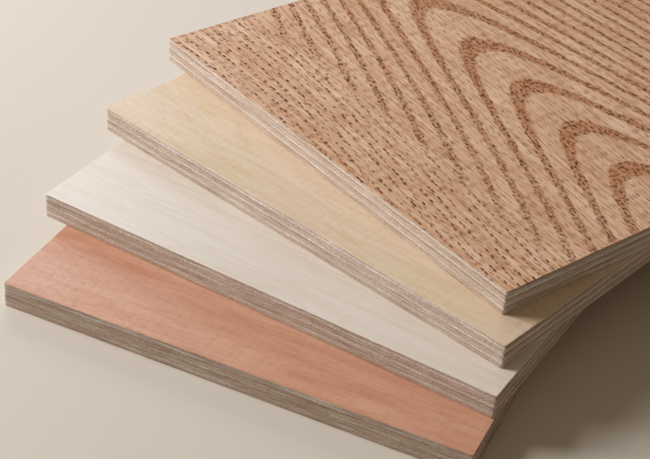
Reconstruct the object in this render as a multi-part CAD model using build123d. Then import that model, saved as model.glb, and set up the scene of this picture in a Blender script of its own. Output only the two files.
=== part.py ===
from build123d import *
import os

# A fan of four small cabinet-grade plywood panels, laid flat one on another.
# Millimetres. The origin is the centre of the lowest panel's underside, X runs along that
# panel's front edge, Y runs back along its depth and Z is up.
# Every panel is seven veneers glued crosswise. The grain of the face, the long bands and the
# back runs along the front edge, and the grain of the three crossbands runs back in depth.

# The cut panels
panel_depth = 600.0
corner_radius = 1.0
arris_radius = 0.35
end_grain_setback = 0.25

# The mahogany panel, lowest: its size along the front edge, then its veneers
mahogany_length = 272.0
mahogany_face = 1.5
mahogany_crossband = 2.2
mahogany_longband = 2.6
mahogany_back = 1.7

# The white birch panel
birch_length = 288.0
birch_face = 1.1
birch_crossband = 2.4
birch_longband = 2.3
birch_back = 2.1

# The maple panel
maple_length = 301.0
maple_face = 1.0
maple_crossband = 2.2
maple_longband = 2.55
maple_back = 2.3

# The red oak panel, on top
oak_length = 308.0
oak_face = 0.6
oak_crossband = 1.8
oak_longband = 3.1
oak_back = 2.8

# How each panel lies on the one below it: its near corner is drawn in along the lower panel's
# front edge and set back in depth, and the panel is turned clockwise seen from above, in degrees
birch_draw_in = 0.9
birch_set_back = 29.9
birch_turn_deg = 6.94
maple_draw_in = 7.8
maple_set_back = 20.5
maple_turn_deg = 10.61
oak_draw_in = 16.3
oak_set_back = 19.0
oak_turn_deg = 9.30


def veneer(length, thickness, grain_along_front):
    """One glued veneer, with its near corner at the origin and its body to -X and +Y.

    A saw tears the end grain a little deeper than the long grain beside it, so the two edges
    where a veneer shows its end grain stand back from the panel's sawn outline.
    """
    side_setback = end_grain_setback if grain_along_front else 0.0
    front_setback = 0.0 if grain_along_front else end_grain_setback
    outline = RectangleRounded(length - 2 * side_setback, panel_depth - 2 * front_setback, corner_radius)
    return extrude(Pos(-length / 2, panel_depth / 2) * outline, thickness)


def eased(solid, thickness, upwards):
    """The same veneer with the arris of its outer face sanded round."""
    rims = solid.edges().group_by(Axis.Z)
    return fillet(rims[-1] if upwards else rims[0], min(arris_radius, thickness / 2))


def lay_up(species, length, face, crossband, longband, back):
    """The veneers of one panel from the bottom up: name, thickness and solid.

    The grain turns with each veneer, so crossbands and long bands take turns between the
    back and the face, and both outer veneers have their grain along the front edge.
    """
    order = [
        ("back_veneer", back, True),
        ("crossband_bottom", crossband, False),
        ("longband_lower", longband, True),
        ("crossband_middle", crossband, False),
        ("longband_upper", longband, True),
        ("crossband_top", crossband, False),
        ("face_veneer", face, True),
    ]
    veneers = []
    for name, thickness, grain_along_front in order:
        solid = veneer(length, thickness, grain_along_front)
        if name == "back_veneer":
            solid = eased(solid, thickness, upwards=False)
        if name == "face_veneer":
            solid = eased(solid, thickness, upwards=True)
        veneers.append((species + "_" + name, thickness, solid))
    return veneers


def glue_up(veneers, place):
    """Stack one panel's veneers on its place and return them by name, with its thickness."""
    placed = {}
    height = 0.0
    for name, thickness, solid in veneers:
        placed[name] = place * Pos(0, 0, height) * solid
        height += thickness
    return placed, height


def fan_out(place_below, thickness_below, draw_in, set_back, turn_deg):
    """The place of the next panel's near corner on the top face of the panel below."""
    return place_below * Location((-draw_in, set_back, thickness_below), (0, 0, -turn_deg))


mahogany_place = Location((mahogany_length / 2, -panel_depth / 2, 0))
mahogany, mahogany_thickness = glue_up(
    lay_up("mahogany", mahogany_length, mahogany_face, mahogany_crossband, mahogany_longband, mahogany_back),
    mahogany_place,
)

birch_place = fan_out(mahogany_place, mahogany_thickness, birch_draw_in, birch_set_back, birch_turn_deg)
birch, birch_thickness = glue_up(
    lay_up("birch", birch_length, birch_face, birch_crossband, birch_longband, birch_back),
    birch_place,
)

maple_place = fan_out(birch_place, birch_thickness, maple_draw_in, maple_set_back, maple_turn_deg)
maple, maple_thickness = glue_up(
    lay_up("maple", maple_length, maple_face, maple_crossband, maple_longband, maple_back),
    maple_place,
)

oak_place = fan_out(maple_place, maple_thickness, oak_draw_in, oak_set_back, oak_turn_deg)
oak, oak_thickness = glue_up(
    lay_up("oak", oak_length, oak_face, oak_crossband, oak_longband, oak_back),
    oak_place,
)

os.makedirs("parts", exist_ok=True)
for panel in (mahogany, birch, maple, oak):
    for node, solid in panel.items():
        export_step(solid, "parts/" + node + ".step")
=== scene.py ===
import math

import bmesh
import bpy
from mathutils import Matrix, Vector, noise


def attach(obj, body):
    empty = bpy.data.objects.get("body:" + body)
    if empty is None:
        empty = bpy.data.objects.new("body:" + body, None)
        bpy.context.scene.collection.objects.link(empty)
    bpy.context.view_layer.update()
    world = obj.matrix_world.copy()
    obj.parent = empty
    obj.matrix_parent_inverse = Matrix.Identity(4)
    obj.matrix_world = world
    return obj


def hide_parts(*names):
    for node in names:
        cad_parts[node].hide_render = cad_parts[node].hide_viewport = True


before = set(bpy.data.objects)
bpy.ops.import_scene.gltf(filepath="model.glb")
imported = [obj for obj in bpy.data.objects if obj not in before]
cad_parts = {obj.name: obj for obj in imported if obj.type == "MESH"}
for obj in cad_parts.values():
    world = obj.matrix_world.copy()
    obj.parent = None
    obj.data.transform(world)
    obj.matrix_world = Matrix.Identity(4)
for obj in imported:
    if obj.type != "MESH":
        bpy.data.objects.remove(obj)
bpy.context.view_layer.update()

# The floor and the daylight
# The stack lies on a plain pale floor. A large soft window rakes the front edges from the left, a
# second one farther back leaves a cool sheen on the left ends, and the room glows warm.

FLOOR_HALF_WIDTH = 6.0
FLOOR_CELLS = 8
FLOOR_TONE = (0.68, 0.64, 0.59)
FLOOR_MOTTLE_TONE = (0.64, 0.60, 0.55)
FLOOR_MOTTLES_PER_METRE = 3.0
FLOOR_ROUGHNESS = 0.8
ROOM_TONE = (1.0, 0.78, 0.53)
ROOM_STRENGTH = 0.20
WINDOW_FROM = Vector((-2.05, -0.64, 1.16))
WINDOW_TOWARDS = Vector((0.0, -0.12, 0.03))
WINDOW_SIZE = 1.08
WINDOW_POWER = 74.0
WINDOW_TONE = (1.0, 0.975, 0.945)
BACK_WINDOW_FROM = Vector((-0.84, 0.58, 0.62))
BACK_WINDOW_SIZE = 0.50
BACK_WINDOW_POWER = 3.9
BACK_WINDOW_TONE = (0.86, 0.94, 1.0)

scene = bpy.context.scene
scene.view_settings.view_transform = "Standard"

floor_form = bmesh.new()
bmesh.ops.create_grid(
    floor_form, x_segments=FLOOR_CELLS, y_segments=FLOOR_CELLS, size=FLOOR_HALF_WIDTH
)
floor_mesh = bpy.data.meshes.new("floor")
floor_form.to_mesh(floor_mesh)
floor_form.free()
floor = bpy.data.objects.new("floor", floor_mesh)
scene.collection.objects.link(floor)

floor_finish = bpy.data.materials.new("floor")
floor_finish.use_nodes = True
floor_shader = floor_finish.node_tree.nodes["Principled BSDF"]
floor_shader.inputs["Roughness"].default_value = FLOOR_ROUGHNESS
floor_coordinates = floor_finish.node_tree.nodes.new("ShaderNodeTexCoord")
floor_mottle = floor_finish.node_tree.nodes.new("ShaderNodeTexNoise")
floor_mottle.inputs["Scale"].default_value = FLOOR_MOTTLES_PER_METRE
floor_tones = floor_finish.node_tree.nodes.new("ShaderNodeMix")
floor_tones.data_type = "RGBA"
floor_tones.inputs["A"].default_value = (*FLOOR_TONE, 1.0)
floor_tones.inputs["B"].default_value = (*FLOOR_MOTTLE_TONE, 1.0)
floor_links = floor_finish.node_tree.links
floor_links.new(floor_coordinates.outputs["Object"], floor_mottle.inputs["Vector"])
floor_links.new(floor_mottle.outputs["Fac"], floor_tones.inputs["Factor"])
floor_links.new(floor_tones.outputs["Result"], floor_shader.inputs["Base Color"])
floor_mesh.materials.append(floor_finish)

room = bpy.data.worlds.new("room")
room.use_nodes = True
room.node_tree.nodes["Background"].inputs["Color"].default_value = (*ROOM_TONE, 1.0)
room.node_tree.nodes["Background"].inputs["Strength"].default_value = ROOM_STRENGTH
scene.world = room


def window(name, place, size, power, colour):
    """A square soft light on the left, turned towards the stack."""
    light = bpy.data.lights.new(name, "AREA")
    light.size = size
    light.energy = power
    light.color = colour
    pane = bpy.data.objects.new(name, light)
    pane.location = place
    pane.rotation_euler = (WINDOW_TOWARDS - place).to_track_quat("-Z", "Y").to_euler()
    scene.collection.objects.link(pane)


window("window", WINDOW_FROM, WINDOW_SIZE, WINDOW_POWER, WINDOW_TONE)
window("back_window", BACK_WINDOW_FROM, BACK_WINDOW_SIZE, BACK_WINDOW_POWER, BACK_WINDOW_TONE)

# The camera
# It stands in front of the stack's near corner, a little over half a metre above the floor, looks
# down at the front edges and is tipped a little to one side, as in the photograph.

CAMERA_AT = Vector((0.27416, -0.87987, 0.5569))
CAMERA_HEADING = Vector((-0.36569, 0.93074, 0.0))
CAMERA_PITCH = math.radians(35.174)
CAMERA_ROLL = math.radians(5.642)
PHOTO_WIDTH = 650.0
FOCAL_PIXELS = 1626.8
SENSOR_WIDTH_MM = 36.0
NEAREST_SEEN = 0.02

lens = bpy.data.cameras.new("camera")
lens.sensor_fit = "HORIZONTAL"
lens.sensor_width = SENSOR_WIDTH_MM
lens.lens = FOCAL_PIXELS / PHOTO_WIDTH * SENSOR_WIDTH_MM
lens.clip_start = NEAREST_SEEN
camera = bpy.data.objects.new("camera", lens)
ahead = CAMERA_HEADING * math.cos(CAMERA_PITCH) - Vector((0, 0, math.sin(CAMERA_PITCH)))
level_right = ahead.cross(Vector((0, 0, 1))).normalized()
level_up = level_right.cross(ahead)
right = level_right * math.cos(CAMERA_ROLL) + level_up * math.sin(CAMERA_ROLL)
up = level_up * math.cos(CAMERA_ROLL) - level_right * math.sin(CAMERA_ROLL)
camera.matrix_world = Matrix.Translation(CAMERA_AT) @ Matrix((right, up, -ahead)).transposed().to_4x4()
scene.collection.objects.link(camera)
scene.camera = camera

# The sawn veneers
# Every panel is seven veneers glued crosswise and sawn to size together. The saw leaves each
# veneer's edge a little ragged: end grain crumbles in short pits, long grain tears in slivers.

METRES_PER_MM = 0.001
LAYERS = (
    "back_veneer", "crossband_bottom", "longband_lower", "crossband_middle",
    "longband_upper", "crossband_top", "face_veneer",
)
# How far each panel is turned in the fan, in degrees, clockwise seen from above
FAN_TURNS = {"mahogany": 0.0, "birch": 6.94, "maple": 17.55, "oak": 26.85}
CORNER_RADIUS = 1.0
CORNER_FACETS = 3
ARRIS_RADIUS = 0.35
ARRIS_FACETS = 2
COLUMN_PITCH = 1.5
EDGE_ROWS = 3
SHARP_ANGLE = math.radians(40)
NEGLIGIBLE = 1e-3
# How far a face looks up or down when it lies level, and when it belongs to a broad side
LEVEL_FACING = 0.999
BROAD_FACING = 0.5
# An edge that covers this share of a wall's height or length is one of its uprights or lines
UPRIGHT_SHARE = 0.4
LINE_SHARE = 0.9
# How deep the saw tears, and how long and how high each kind of tear is
END_GRAIN_PITS = 0.16
CRUMB_SIZE = (1.6, 0.9)
HOLLOW_SIZE = (9.0, 1.5)
LONG_GRAIN_SLIVERS = 0.09
SLIVER_SIZE = (11.0, 0.5)
CHIP_DEPTH = 0.30
CHIP_SIZE = (5.0, 2.0)
CHIPS_ABOVE = 0.42


class Panel:
    """Where one panel lies: the axes of its front edge and its depth, and its near corner."""

    def __init__(self, species):
        self.species = species
        self.turn = -math.radians(FAN_TURNS[species])
        self.along = Vector((math.cos(self.turn), math.sin(self.turn), 0))
        self.back = Vector((-math.sin(self.turn), math.cos(self.turn), 0))
        reaches = [self.reach(species + "_" + layer) for layer in LAYERS]
        self.right_end = max(reach[1][0] for reach in reaches)
        self.front = min(reach[0][1] for reach in reaches)
        self.length = self.right_end - min(reach[0][0] for reach in reaches)
        self.near_corner = self.along * self.right_end + self.back * self.front

    def reach(self, node):
        """The lowest and highest reach of a solid along the panel's own axes, in metres."""
        points = [vertex.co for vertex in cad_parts[node].data.vertices]
        own = [(point.dot(self.along), point.dot(self.back), point.z) for point in points]
        return [min(axis) for axis in zip(*own)], [max(axis) for axis in zip(*own)]

    def veneer_box(self, node):
        """A solid's lowest and highest corner in millimetres from the near corner, and its base."""
        low, high = self.reach(node)
        origin = Vector((self.right_end, self.front, low[2]))
        return (Vector(low) - origin) / METRES_PER_MM, (Vector(high) - origin) / METRES_PER_MM, low[2]

    def place(self, base):
        """The way from a veneer's own millimetres to its place in the stack."""
        corner = Matrix.Translation(self.near_corner + Vector((0, 0, base)))
        return corner @ Matrix.Rotation(self.turn, 4, "Z") @ Matrix.Scale(METRES_PER_MM, 4)


def rise_of(edge):
    """How far an edge climbs from one end to the other."""
    return abs(edge.verts[0].co.z - edge.verts[1].co.z)


def blank_veneer(low, high, outer):
    """A veneer's block with round upright corners and, on an outer veneer, a sanded arris."""
    form = bmesh.new()
    bmesh.ops.create_cube(form, size=1.0)
    bmesh.ops.scale(form, vec=high - low, verts=form.verts)
    bmesh.ops.translate(form, vec=(low + high) / 2, verts=form.verts)
    uprights = [edge for edge in form.edges if rise_of(edge) > NEGLIGIBLE]
    bmesh.ops.bevel(
        form, geom=uprights, offset=CORNER_RADIUS, segments=CORNER_FACETS, profile=0.5,
        affect="EDGES", material=-1,
    )
    if outer is not None:
        rim = [
            edge for edge in form.edges
            if all(abs(vert.co.z - outer) < NEGLIGIBLE for vert in edge.verts)
        ]
        bmesh.ops.bevel(
            form, geom=rim, offset=min(ARRIS_RADIUS, (high.z - low.z) / 2), segments=ARRIS_FACETS,
            profile=0.5, affect="EDGES", material=-1,
        )
    return form


def divide_walls(form, size):
    """Takes the two broad sides off and divides the walls, so that the saw can tear them."""
    broad = [face for face in form.faces if abs(face.normal.z) > LEVEL_FACING]
    bmesh.ops.delete(form, geom=broad, context="FACES_ONLY")
    wall_uprights = [
        edge for edge in form.edges
        if rise_of(edge) > size.z * UPRIGHT_SHARE
        and (edge.verts[0].co.xy - edge.verts[1].co.xy).length < NEGLIGIBLE
    ]
    bmesh.ops.subdivide_edges(form, edges=wall_uprights, cuts=EDGE_ROWS - 1, use_grid_fill=True)
    for axis, span in ((0, size.x), (1, size.y)):
        lines = [
            edge for edge in form.edges
            if abs(edge.verts[0].co[axis] - edge.verts[1].co[axis]) > span * LINE_SHARE
        ]
        cuts = round(span / COLUMN_PITCH) - 1
        bmesh.ops.subdivide_edges(form, edges=lines, cuts=cuts, use_grid_fill=True)


def tear(run, height, size, seed):
    """Uneven blobs of a given length and height on an edge, from -1 to 1."""
    return noise.noise(Vector((run / size[0], height / size[1], seed)))


def raggedness(run, height, end_grain, seed):
    """How deep the saw has torn the edge at one spot, in millimetres."""
    if end_grain:
        crumbs = tear(run, height, CRUMB_SIZE, seed)
        hollows = tear(run, height, HOLLOW_SIZE, seed + 5.0)
        return END_GRAIN_PITS * max(0.0, 0.5 + 0.9 * crumbs + 0.5 * hollows)
    slivers = tear(run, height, SLIVER_SIZE, seed)
    chips = tear(run, height, CHIP_SIZE, seed + 9.0)
    torn = CHIP_DEPTH * max(0.0, chips - CHIPS_ABOVE) / (1.0 - CHIPS_ABOVE)
    return LONG_GRAIN_SLIVERS * max(0.0, 0.5 + slivers) + torn


def tear_walls(form, grain_along_front, seed):
    """Moves every spot of the walls inwards by as much as the saw has torn there."""
    form.normal_update()
    moves = []
    for vert in form.verts:
        outward = Vector((vert.normal.x, vert.normal.y, 0))
        if outward.length < NEGLIGIBLE:
            continue
        outward.normalize()
        at_side = abs(outward.x) > abs(outward.y)
        run = vert.co.y if at_side else vert.co.x
        depth = raggedness(run, vert.co.z, at_side == grain_along_front, seed)
        moves.append((vert, -outward * depth))
    for vert, move in moves:
        vert.co += move


def sawn_veneer(panel, layer, seed):
    """One veneer with its sawn edges, its base and its thickness.

    The broad sides of the two outer veneers are marked for a second finish.
    """
    node = panel.species + "_" + layer
    low, high, base = panel.veneer_box(node)
    outer = {"face_veneer": high.z, "back_veneer": low.z}.get(layer)
    form = blank_veneer(low, high, outer)
    divide_walls(form, high - low)
    tear_walls(form, not layer.startswith("crossband"), seed)
    bmesh.ops.holes_fill(form, edges=form.edges, sides=0)
    bmesh.ops.recalc_face_normals(form, faces=form.faces)
    for face in form.faces:
        on_broad_side = outer is not None and abs(face.normal.z) > BROAD_FACING
        face.material_index = 1 if on_broad_side else 0
    bmesh.ops.transform(form, matrix=panel.place(base), verts=form.verts)
    mesh = bpy.data.meshes.new(node + "_sawn")
    form.to_mesh(mesh)
    form.free()
    mesh.set_sharp_from_angle(angle=SHARP_ANGLE)
    for polygon in mesh.polygons:
        polygon.use_smooth = abs(polygon.normal.z) < LEVEL_FACING
    piece = bpy.data.objects.new(node + "_sawn", mesh)
    scene.collection.objects.link(piece)
    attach(piece, "root")
    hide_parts(node)
    return piece, base, high.z - low.z


# The core's edges
# All four panels have a core of pale hardwood veneers; on the lowest, mahogany panel browner streaks
# are painted shade.
# Where the saw crosses the fibres the edge is greyish and pitted, and where it runs along them
# it is streaked tan and brown, with brown glue here and there between the veneers.


def tone(red, green, blue):
    """A colour as seen, 0 to 255, turned into the linear light that the shader mixes."""
    return tuple(
        part / 255 / 12.92 if part / 255 <= 0.04045 else ((part / 255 + 0.055) / 1.055) ** 2.4
        for part in (red, green, blue)
    )


END_GRAIN_PALE = tone(238, 233, 231)
END_GRAIN_GREY = tone(186, 175, 167)
END_GRAIN_PIT = tone(124, 106, 95)
LONG_GRAIN_CREAM = tone(218, 205, 193)
LONG_GRAIN_TAN = tone(192, 172, 154)
LONG_GRAIN_BROWN = tone(146, 114, 90)
GLUE_BROWN = tone(124, 96, 78)
# How long each mark is along the edge and how high it is up the edge, in millimetres
END_SHADE_SIZE = (42.0, 0.55)
END_HATCH_SIZE = (0.9, 2.4)
END_VESSEL_SIZE = (0.9, 0.5)
LONG_STREAK_SIZE = (50.0, 0.62)
LONG_THREAD_SIZE = (9.0, 0.34)
SAW_FUZZ_SIZE = (1.7, 0.3)
GLUE_WANDER_SIZE = (9.0, 50.0)
GLUE_SHOWING_SIZE = (18.0, 50.0)
MAHOGANY_CORE_PAINTED_SHADE_SIZE = (32.0, 0.5)
# How far the hatching leans for each millimetre up, and how high the glue reaches and wanders
HATCH_LEAN = 1.1
GLUE_HEIGHT = 0.14
GLUE_WANDER_HEIGHT = 0.22
# A corner's edge changes to the side's between these two distances from the panel's end
SIDE_STARTS = CORNER_RADIUS + 0.1
SIDE_REACHED = CORNER_RADIUS - 0.3
EDGE_ROUGHNESS = 0.78
EDGE_RELIEF = 0.12
# A broad face's pattern hardly changes through the veneer
THROUGH_VENEER = 400.0
# How far one step of a pattern's shift moves it along, back and up
SHIFT_STEP = (1.0, 1.7, 2.3)


class Finish:
    """One wood finish, worked out in the panel's own millimetres from its near corner."""

    def __init__(self, name, panel, base):
        self.material = bpy.data.materials.new(name)
        self.material.use_nodes = True
        self.tree = self.material.node_tree
        self.shader = self.tree.nodes["Principled BSDF"]
        coordinates = self.tree.nodes.new("ShaderNodeTexCoord")
        place = self.tree.nodes.new("ShaderNodeMapping")
        place.vector_type = "TEXTURE"
        place.inputs["Location"].default_value = (*panel.near_corner.xy, base)
        place.inputs["Rotation"].default_value = (0, 0, panel.turn)
        place.inputs["Scale"].default_value = (METRES_PER_MM,) * 3
        self.tree.links.new(coordinates.outputs["Object"], place.inputs["Vector"])
        parts = self.tree.nodes.new("ShaderNodeSeparateXYZ")
        self.tree.links.new(place.outputs[0], parts.inputs[0])
        self.x, self.y, self.z = parts.outputs

    def feed(self, socket, value):
        """Joins a socket to another one, or sets its number or colour."""
        if isinstance(value, bpy.types.NodeSocket):
            self.tree.links.new(value, socket)
        elif isinstance(value, tuple) and len(value) == 3 and socket.type == "RGBA":
            socket.default_value = (*value, 1.0)
        else:
            socket.default_value = value

    def math(self, operation, first, second=0.0):
        step = self.tree.nodes.new("ShaderNodeMath")
        step.operation = operation
        self.feed(step.inputs[0], first)
        self.feed(step.inputs[1], second)
        return step.outputs[0]

    def add(self, first, second):
        return self.math("ADD", first, second)

    def minus(self, first, second):
        return self.math("SUBTRACT", first, second)

    def times(self, first, second):
        return self.math("MULTIPLY", first, second)

    def parabola(self, value, start, slope, curve):
        """Start, plus slope times the value, plus curve times its square."""
        return self.add(self.times(self.add(self.times(value, curve), slope), value), start)

    def rise(self, value, low, high, smooth=False):
        """0 below low, 1 above high and a slope between them. Low may be the higher number."""
        step = self.tree.nodes.new("ShaderNodeMapRange")
        step.interpolation_type = "SMOOTHSTEP" if smooth else "LINEAR"
        self.feed(step.inputs["Value"], value)
        step.inputs["From Min"].default_value = min(low, high)
        step.inputs["From Max"].default_value = max(low, high)
        step.inputs["To Min"].default_value = 0.0 if low < high else 1.0
        step.inputs["To Max"].default_value = 1.0 if low < high else 0.0
        return step.outputs[0]

    def spot(self, x, y, size, shift):
        """A place on the panel, counted in marks of a given size along, back and up."""
        joined = self.tree.nodes.new("ShaderNodeCombineXYZ")
        for socket, value, reach, step in zip(joined.inputs, (x, y, self.z), size, SHIFT_STEP):
            self.feed(socket, self.add(self.times(value, 1.0 / reach), shift * step))
        return joined.outputs[0]

    def on_edge(self, run, size, shift):
        """A place on a sawn edge, for marks of a given length along it and height up it."""
        return self.spot(run, run, (size[0], size[0], size[1]), shift)

    def on_face(self, size, shift=0.0, y=None):
        """A place on a broad face, for marks of a given length along the grain and width."""
        return self.spot(self.x, y or self.y, (*size, THROUGH_VENEER), shift)

    def mottle(self, where, detail=2.0, roughness=0.5):
        """Soft uneven noise between 0 and 1."""
        step = self.tree.nodes.new("ShaderNodeTexNoise")
        step.inputs["Scale"].default_value = 1.0
        step.inputs["Detail"].default_value = detail
        step.inputs["Roughness"].default_value = roughness
        self.feed(step.inputs["Vector"], where)
        return step.outputs["Fac"]

    def cells(self, where, scatter=1.0, flat=True):
        """The distance to the nearest of many scattered points, and two random numbers for each."""
        step = self.tree.nodes.new("ShaderNodeTexVoronoi")
        step.voronoi_dimensions = "2D" if flat else "3D"
        step.inputs["Scale"].default_value = 1.0
        step.inputs["Randomness"].default_value = scatter
        self.feed(step.inputs["Vector"], where)
        parts = self.tree.nodes.new("ShaderNodeSeparateXYZ")
        self.feed(parts.inputs[0], step.outputs["Color"])
        return step.outputs["Distance"], parts.outputs[0], parts.outputs[1]

    def tint(self, colour, over, amount, strength=1.0):
        """Lays a second tone over a colour, by an amount between 0 and 1 times a strength."""
        step = self.tree.nodes.new("ShaderNodeMix")
        step.data_type = "RGBA"
        step.clamp_factor = True
        self.feed(step.inputs["Factor"], amount if strength == 1.0 else self.times(amount, strength))
        self.feed(step.inputs["A"], colour)
        self.feed(step.inputs["B"], over)
        return step.outputs["Result"]

    def finish(self, colour, roughness, height, relief_mm, sheen=0.5):
        """Wires the colour, the roughness, the relief and the strength of the sheen to the shader."""
        self.feed(self.shader.inputs["Base Color"], colour)
        self.feed(self.shader.inputs["Roughness"], roughness)
        self.feed(self.shader.inputs["Specular IOR Level"], sheen)
        relief = self.tree.nodes.new("ShaderNodeBump")
        relief.inputs["Strength"].default_value = 1.0
        relief.inputs["Distance"].default_value = relief_mm * METRES_PER_MM
        self.feed(relief.inputs["Height"], height)
        self.feed(self.shader.inputs["Normal"], relief.outputs[0])
        return self.material


def end_grain(f, run, seed):
    """Cut fibres: greyish, hatched across the veneer, with open vessels as dark specks."""
    shade = f.mottle(f.on_edge(run, END_SHADE_SIZE, seed), 2.0, 0.6)
    leaning_run = f.add(run, f.times(f.z, HATCH_LEAN))
    hatch = f.mottle(f.spot(leaning_run, run, (END_HATCH_SIZE[0], *END_HATCH_SIZE), seed + 3.0))
    distance, chance, _ = f.cells(f.on_edge(run, END_VESSEL_SIZE, seed + 7.0), flat=False)
    pits = f.times(f.rise(distance, 0.36, 0.16), f.rise(chance, 0.45, 0.6))
    colour = f.tint(END_GRAIN_PALE, END_GRAIN_GREY, f.rise(shade, 0.38, 0.60))
    colour = f.tint(colour, LONG_GRAIN_BROWN, f.rise(shade, 0.56, 0.72), 0.6)
    colour = f.tint(colour, END_GRAIN_GREY, f.rise(hatch, 0.46, 0.60), 0.8)
    colour = f.tint(colour, END_GRAIN_PIT, pits, 0.65)
    height = f.minus(f.times(hatch, -0.5), f.times(pits, 0.8))
    return colour, height


def long_grain(f, run, thickness, seed):
    """Cut along the fibres: long streaks, browner near the top glue line and creamier below."""
    above_middle = f.add(f.times(f.z, 1.0 / thickness), -0.5)
    streak = f.mottle(f.on_edge(run, LONG_STREAK_SIZE, seed), 2.0, 0.6)
    thread = f.mottle(f.on_edge(run, LONG_THREAD_SIZE, seed + 4.0))
    warmth = f.add(f.times(above_middle, 0.07), streak)
    colour = f.tint(LONG_GRAIN_CREAM, LONG_GRAIN_TAN, f.rise(warmth, 0.30, 0.44))
    colour = f.tint(colour, LONG_GRAIN_BROWN, f.rise(warmth, 0.52, 0.68))
    colour = f.tint(colour, LONG_GRAIN_BROWN, f.rise(thread, 0.52, 0.68), 0.6)
    return colour, f.times(thread, -0.6)


def glue_lines(f, run, thickness, seed):
    """Where brown glue shows along the veneer's two joints, 0 to 1."""
    wander = f.times(f.mottle(f.on_edge(run, GLUE_WANDER_SIZE, seed + 11.0)), GLUE_WANDER_HEIGHT)
    from_below = f.minus(f.z, wander)
    from_above = f.minus(f.minus(thickness, f.z), wander)
    showing = f.rise(f.mottle(f.on_edge(run, GLUE_SHOWING_SIZE, seed + 13.0)), 0.28, 0.55)
    return f.times(f.rise(f.math("MINIMUM", from_below, from_above), GLUE_HEIGHT, 0.0), showing)


def edge_finish(panel, layer, base, thickness, seed):
    """The finish of one veneer's sawn edges, which change from long to end grain at the corners."""
    f = Finish(panel.species + "_" + layer + "_edge", panel, base)
    length = panel.length / METRES_PER_MM
    right_side = f.rise(f.x, -SIDE_STARTS, -SIDE_REACHED)
    left_side = f.rise(f.x, SIDE_STARTS - length, SIDE_REACHED - length)
    at_side = f.math("MAXIMUM", right_side, left_side)
    run = f.add(f.x, f.y)
    across_colour, across_height = end_grain(f, run, seed)
    along_colour, along_height = long_grain(f, run, thickness, seed)
    ends = f.minus(1.0, at_side) if layer.startswith("crossband") else at_side
    colour = f.tint(along_colour, across_colour, ends)
    height = f.add(f.times(across_height, ends), f.times(along_height, f.minus(1.0, ends)))
    fuzz = f.mottle(f.on_edge(run, SAW_FUZZ_SIZE, seed + 17.0))
    colour = f.tint(colour, LONG_GRAIN_BROWN, f.rise(fuzz, 0.50, 0.66), 0.38)
    colour = f.tint(colour, END_GRAIN_PALE, f.rise(fuzz, 0.50, 0.34), 0.35)
    glue = glue_lines(f, run, thickness, seed)
    colour = f.tint(colour, GLUE_BROWN, glue, 0.36)
    # Painted shade: the mahogany panel's core edges sit lowest and most in shade, so they are darkened
    # with browner streaks.
    if panel.species == "mahogany":
        painted_shade = f.mottle(f.on_edge(run, MAHOGANY_CORE_PAINTED_SHADE_SIZE, seed + 19.0))
        colour = f.tint(colour, LONG_GRAIN_BROWN, f.rise(painted_shade, 0.45, 0.58), 0.5)
    height = f.minus(height, f.times(glue, 0.3))
    return f.finish(colour, EDGE_ROUGHNESS, height, EDGE_RELIEF)


# The red oak face
# The top panel wears plain-sliced red oak. The knife met the rings flat on, so they open as
# nested arches towards the right, each ring a band of large open pores and then denser wood,
# and they thin out to files of single pores along the front edge.

OAK_LATE = tone(216, 177, 149)
OAK_PALE = tone(236, 205, 179)
OAK_EARLY = tone(183, 123, 80)
OAK_PORE = tone(90, 34, 8)
OAK_TICK = tone(143, 84, 50)
OAK_RING_COUNT = 3.8255
OAK_FIRST_RING = -30.963
OAK_HEART_DEPTH = 78.91
OAK_TAPER = 0.2110
OAK_TIP_ALONG = 429.94
OAK_TIP_BACK = 63.32
OAK_ARCH_TILT = 0.1587
OAK_ARCH_BEND = 0.000572
OAK_FRONT_PULL = -0.003403
OAK_TAPER_CURL = -0.0000698
# The files of pores: at the middle of the front edge, and their change towards the right and back
OAK_HALF_LENGTH = 154.0
OAK_FILES_PER_MM = 0.1605
OAK_FILES_CROWD = 0.0245
OAK_FILES_CROWD_BEND = -0.00487
OAK_FILES_CROWD_BACK = 0.000251
OAK_FILE_SAG = 4.6881
OAK_FILE_SAG_SLOPE = 1.8048
OAK_FILE_SAG_BEND = -0.9201
OAK_FIRST_FILE = -0.249
OAK_FILE_OFFSET = 0.12
# Between which depths the files give way to the arches, and how that line slants
OAK_FILES_END = (54.0, 38.0)
OAK_FILES_END_SLANT = 0.07
# Where the fibres lean: the depths between which they start and stop, and the pivot
OAK_LEAN = 0.17
OAK_LEAN_STARTS = (10.0, 110.0)
OAK_LEAN_STOPS = (260.0, 180.0)
OAK_LEAN_PIVOT = 150.0
# How long each mark is along the grain and how wide across it, in millimetres
OAK_RIPPLE_SIZE = (11.0, 3.5)
OAK_SHADE_SIZE = (60.0, 6.0)
OAK_FIBRE_SIZE = (20.0, 0.9)
OAK_ARCH_PORE_SIZE = (3.7, 1.5)
OAK_TICK_SIZE = (8.0, 1.25)
# How far apart the pores of a file are, in millimetres, and how wide they are, in files
OAK_FILE_PORE_SIZE = (4.8, 1.0 / 3.0)
OAK_RELIEF = 0.10
FACE_ROUGHNESS = 0.36


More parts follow.
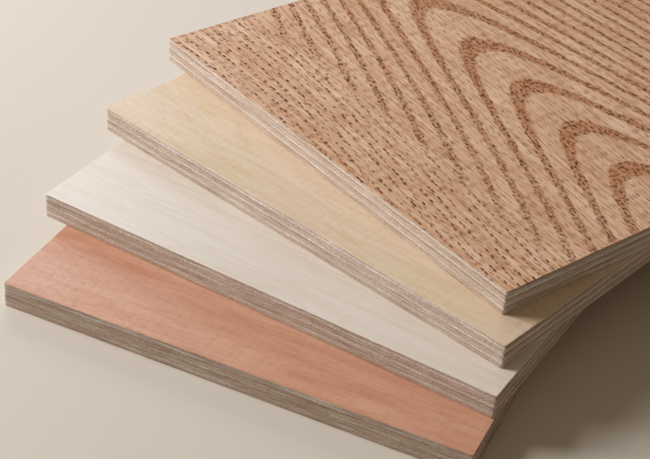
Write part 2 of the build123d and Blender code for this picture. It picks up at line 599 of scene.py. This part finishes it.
def oak_arches(f):
    """Counts growth rings outwards from the heart: a whole number in the middle of each band.

    The rings are cones about a heart below the sheet whose tip lies beyond the right-hand side,
    so the flat cut opens them as arches. In front of the ridge they bend and open out.
    """
    along = f.add(f.x, -OAK_TIP_ALONG)
    off_ridge = f.add(f.add(f.y, -OAK_TIP_BACK), f.times(along, OAK_ARCH_TILT))
    in_front = f.math("MAXIMUM", f.times(off_ridge, -1.0), 0.0)
    off_ridge = f.add(off_ridge, f.times(f.times(in_front, along), OAK_ARCH_BEND))
    reach = f.math("SQRT", f.add(f.times(off_ridge, off_ridge), OAK_HEART_DEPTH ** 2))
    taper = f.times(along, f.add(f.times(along, OAK_TAPER_CURL), -OAK_TAPER))
    pull = f.times(f.times(in_front, in_front), OAK_FRONT_PULL)
    cone = f.math("SQRT", f.math("MAXIMUM", f.add(f.add(reach, taper), pull), 1.0))
    return f.add(f.times(cone, OAK_RING_COUNT), OAK_FIRST_RING)


def oak_front_rows(f):
    """Counts the files of pores along the front edge, which sag away towards the right.

    A spot is measured from the middle of the front edge, in half lengths of the panel.
    """
    off_middle = f.times(f.add(f.x, OAK_HALF_LENGTH), 1.0 / OAK_HALF_LENGTH)
    files_per_mm = f.parabola(off_middle, OAK_FILES_PER_MM, OAK_FILES_CROWD, OAK_FILES_CROWD_BEND)
    files_per_mm = f.add(files_per_mm, f.times(f.y, OAK_FILES_CROWD_BACK))
    sag = f.parabola(off_middle, OAK_FILE_SAG, OAK_FILE_SAG_SLOPE, OAK_FILE_SAG_BEND)
    return f.add(f.add(f.times(f.y, files_per_mm), f.times(sag, off_middle)), OAK_FIRST_FILE)


def oak_leaning_depth(f):
    """The depth of a spot, read along fibres that run forward to the right in mid-sheet."""
    lean = f.times(f.rise(f.y, *OAK_LEAN_STARTS, smooth=True), f.rise(f.y, *OAK_LEAN_STOPS))
    return f.add(f.y, f.times(f.add(f.x, OAK_LEAN_PIVOT), f.times(lean, OAK_LEAN)))


def oak_band(f, rings, outer, inner):
    """How far a spot is inside a ring's band of early wood, 0 to 1."""
    return f.rise(f.math("PINGPONG", rings, 0.5), outer, inner, smooth=True)


def oak_pore(f, distance, size, width, width_spread, softness):
    """One open pore about each scattered point, darker where the pore is larger."""
    off_rim = f.minus(distance, f.add(f.times(size, width_spread), width))
    return f.times(f.rise(off_rim, softness, -softness), f.add(f.times(size, 0.5), 0.5))


def oak_arch_pores(f, arches, leaning_y):
    """Pores crowded in the early wood of the arches and rare between them."""
    distance, chance, size = f.cells(f.on_face(OAK_ARCH_PORE_SIZE, 5.0, leaning_y), 0.85)
    here = f.rise(f.minus(f.add(f.times(arches, 0.88), 0.03), chance), 0.0, 0.04)
    return f.times(oak_pore(f, distance, size, 0.30, 0.12, 0.07), here)


def oak_file_pores(f, row_count, front):
    """Single pores one after another in each file along the front edge."""
    files_back = f.add(row_count, OAK_FILE_OFFSET)
    distance, chance, size = f.cells(f.on_face(OAK_FILE_PORE_SIZE, 0.0, files_back), 0.72)
    in_file = f.times(f.rise(f.math("PINGPONG", row_count, 0.5), 0.23, 0.19), front)
    here = f.times(in_file, f.rise(chance, 0.14, 0.30))
    return f.times(oak_pore(f, distance, size, 0.26, 0.10, 0.06), here)


def oak_ticks(f, leaning_y):
    """Short thin strokes where small pores open in the denser wood."""
    distance, chance, _ = f.cells(f.on_face(OAK_TICK_SIZE, 17.0, leaning_y), 0.9)
    return f.times(f.rise(distance, 0.38, 0.18), f.rise(chance, 0.35, 0.75))


def oak_face(panel, base):
    f = Finish("oak_face", panel, base)
    ripple = f.times(f.add(f.mottle(f.on_face(OAK_RIPPLE_SIZE, 8.0)), -0.5), 0.16)
    front = f.rise(f.add(f.y, f.times(f.x, OAK_FILES_END_SLANT)), *OAK_FILES_END, smooth=True)
    arches = oak_band(f, f.add(oak_arches(f), ripple), 0.21, 0.11)
    arches = f.times(arches, f.minus(1.0, front))
    row_count = f.add(oak_front_rows(f), ripple)
    rows = f.times(oak_band(f, row_count, 0.24, 0.10), front)
    leaning_y = oak_leaning_depth(f)
    shade = f.mottle(f.on_face(OAK_SHADE_SIZE, 1.0), 3.0, 0.6)
    fibre = f.mottle(f.on_face(OAK_FIBRE_SIZE, 2.0, leaning_y))
    pore = f.math("MAXIMUM", oak_arch_pores(f, arches, leaning_y), oak_file_pores(f, row_count, front))
    tick = oak_ticks(f, leaning_y)
    colour = f.tint(OAK_PALE, OAK_LATE, f.rise(shade, 0.3, 0.7))
    colour = f.tint(colour, OAK_EARLY, f.rise(fibre, 0.45, 0.62), 0.6)
    colour = f.tint(colour, OAK_TICK, tick, 0.8)
    fill = f.times(f.add(f.times(fibre, 0.7), 0.33), f.rise(f.y, -20.0, 130.0))
    colour = f.tint(colour, OAK_EARLY, f.add(f.times(arches, fill), f.times(rows, 0.22)))
    colour = f.tint(colour, OAK_PORE, pore, 0.95)
    height = f.minus(f.times(fibre, 0.15), f.add(pore, f.times(tick, 0.3)))
    roughness = f.add(f.times(pore, 0.4), FACE_ROUGHNESS)
    sheen = f.add(f.times(pore, -0.45), 0.5)
    return f.finish(colour, roughness, height, OAK_RELIEF, sheen)


# The maple face
# Rotary-cut maple is close-grained and creamy. It has hardly any visible pores: faint tan figure
# drifts along the panel, with a few thin curls and patches of a pinker cream.

MAPLE_CREAM = tone(225, 209, 186)
MAPLE_TAN = tone(210, 186, 156)
MAPLE_FLECK = tone(186, 152, 115)
MAPLE_CURL = tone(213, 176, 128)
MAPLE_BLUSH = tone(226, 205, 186)
MAPLE_DRIFT_SIZE = (60.0, 6.0)
MAPLE_BLUSH_SIZE = (75.0, 28.0)
MAPLE_SILK_SIZE = (26.0, 0.9)
MAPLE_FLECK_SIZE = (6.0, 0.9)
MAPLE_CURL_WIDTH = 18.0
CURL_STRETCH = 6.0
CURL_COUNT = 8.0
CLOSE_GRAIN_RELIEF = 0.03


def curls(f, width, shift):
    """Faint wandering lines and curls, where the knife peeled through the growth rings."""
    rings = f.mottle(f.on_face((CURL_STRETCH * width, width), shift), 1.5, 0.4)
    return f.rise(f.math("PINGPONG", f.times(rings, CURL_COUNT), 0.5), 0.15, 0.0)


def maple_face(panel, base):
    f = Finish("maple_face", panel, base)
    drift = f.mottle(f.on_face(MAPLE_DRIFT_SIZE, 4.0), 4.0, 0.6)
    blush = f.mottle(f.on_face(MAPLE_BLUSH_SIZE, 45.0))
    silk = f.mottle(f.on_face(MAPLE_SILK_SIZE, 6.0), 3.0)
    distance, chance, _ = f.cells(f.on_face(MAPLE_FLECK_SIZE, 9.0))
    fleck = f.times(f.rise(distance, 0.3, 0.14), f.rise(chance, 0.7, 0.8))
    colour = f.tint(MAPLE_CREAM, MAPLE_TAN, f.rise(drift, 0.4, 0.72))
    colour = f.tint(colour, MAPLE_BLUSH, f.rise(blush, 0.45, 0.62), 0.6)
    colour = f.tint(colour, MAPLE_TAN, f.rise(silk, 0.45, 0.65), 0.25)
    colour = f.tint(colour, MAPLE_CURL, curls(f, MAPLE_CURL_WIDTH, 41.0), 0.34)
    colour = f.tint(colour, MAPLE_FLECK, fleck, 0.45)
    return f.finish(colour, FACE_ROUGHNESS, f.minus(silk, fleck), CLOSE_GRAIN_RELIEF)


# The white birch face
# White birch sapwood is rotary-cut too, nearly white and very even, with only faint yellowish
# streaks and curls.

BIRCH_WHITE = tone(227, 220, 213)
BIRCH_STREAK = tone(214, 201, 187)
BIRCH_DRIFT_SIZE = (80.0, 4.0)
BIRCH_SILK_SIZE = (30.0, 0.9)
BIRCH_CURL_WIDTH = 18.0


def birch_face(panel, base):
    f = Finish("birch_face", panel, base)
    drift = f.mottle(f.on_face(BIRCH_DRIFT_SIZE, 14.0), 4.0, 0.6)
    silk = f.mottle(f.on_face(BIRCH_SILK_SIZE, 16.0), 3.0)
    colour = f.tint(BIRCH_WHITE, BIRCH_STREAK, f.rise(drift, 0.45, 0.75), 0.7)
    colour = f.tint(colour, BIRCH_STREAK, f.rise(silk, 0.48, 0.70), 0.28)
    colour = f.tint(colour, BIRCH_STREAK, curls(f, BIRCH_CURL_WIDTH, 51.0), 0.32)
    return f.finish(colour, FACE_ROUGHNESS, silk, CLOSE_GRAIN_RELIEF)


# The mahogany face
# The lowest panel wears salmon-pink mahogany: soft darker streaks, faint curls and short fine
# open pores.

MAHOGANY_PINK = tone(214, 167, 143)
MAHOGANY_RED = tone(192, 133, 107)
MAHOGANY_PORE = tone(142, 86, 66)
MAHOGANY_DRIFT_SIZE = (60.0, 9.0)
MAHOGANY_SILK_SIZE = (24.0, 0.8)
MAHOGANY_PORE_SIZE = (6.0, 0.8)
MAHOGANY_CURL_WIDTH = 14.0
MAHOGANY_RELIEF = 0.05


def mahogany_face(panel, base):
    f = Finish("mahogany_face", panel, base)
    drift = f.mottle(f.on_face(MAHOGANY_DRIFT_SIZE, 24.0), 4.0, 0.6)
    silk = f.mottle(f.on_face(MAHOGANY_SILK_SIZE, 26.0), 3.0)
    distance, chance, _ = f.cells(f.on_face(MAHOGANY_PORE_SIZE, 29.0))
    pore = f.times(f.rise(distance, 0.28, 0.12), f.rise(chance, 0.4, 0.5))
    colour = f.tint(MAHOGANY_PINK, MAHOGANY_RED, f.rise(drift, 0.38, 0.74), 0.8)
    colour = f.tint(colour, MAHOGANY_RED, f.rise(silk, 0.45, 0.70), 0.35)
    colour = f.tint(colour, MAHOGANY_RED, curls(f, MAHOGANY_CURL_WIDTH, 61.0), 0.36)
    colour = f.tint(colour, MAHOGANY_PORE, pore, 0.22)
    height = f.minus(f.times(silk, 0.4), pore)
    return f.finish(colour, FACE_ROUGHNESS, height, MAHOGANY_RELIEF)


# The plain backs
# The back of each panel is an ordinary hardwood veneer of no particular figure, sanded like the
# face. It shows along the edges and from underneath.

BACK_TAN = tone(206, 178, 148)
BACK_BROWN = tone(184, 150, 118)
BACK_DRIFT_SIZE = (90.0, 8.0)
BACK_SILK_SIZE = (26.0, 0.9)
BACK_DRIFT_SHIFTS = {"mahogany": 42.0, "birch": 39.0, "maple": 39.0, "oak": 37.0}
BACK_ROUGHNESS = 0.6
BACK_RELIEF = 0.04


def plain_back(panel, base):
    f = Finish(panel.species + "_back", panel, base)
    drift = f.mottle(f.on_face(BACK_DRIFT_SIZE, BACK_DRIFT_SHIFTS[panel.species]), 3.0, 0.6)
    silk = f.mottle(f.on_face(BACK_SILK_SIZE, 36.0))
    colour = f.tint(BACK_TAN, BACK_BROWN, f.rise(drift, 0.35, 0.75))
    colour = f.tint(colour, BACK_BROWN, f.rise(silk, 0.45, 0.75), 0.3)
    return f.finish(colour, BACK_ROUGHNESS, silk, BACK_RELIEF)


# The four panels, from the floor up
# Each is glued up, sawn and sanded, then laid on the one below and turned to fan the front
# edges. Only its weight holds it there.

FACES = {"mahogany": mahogany_face, "birch": birch_face, "maple": maple_face, "oak": oak_face}

for panel_number, species in enumerate(FAN_TURNS):
    panel = Panel(species)
    for layer_number, layer in enumerate(LAYERS):
        seed = 10.0 * panel_number + 1.3 * layer_number
        piece, base, thickness = sawn_veneer(panel, layer, seed)
        piece.data.materials.append(edge_finish(panel, layer, base, thickness, seed))
        if layer == "face_veneer":
            piece.data.materials.append(FACES[species](panel, base))
        elif layer == "back_veneer":
            piece.data.materials.append(plain_back(panel, base))
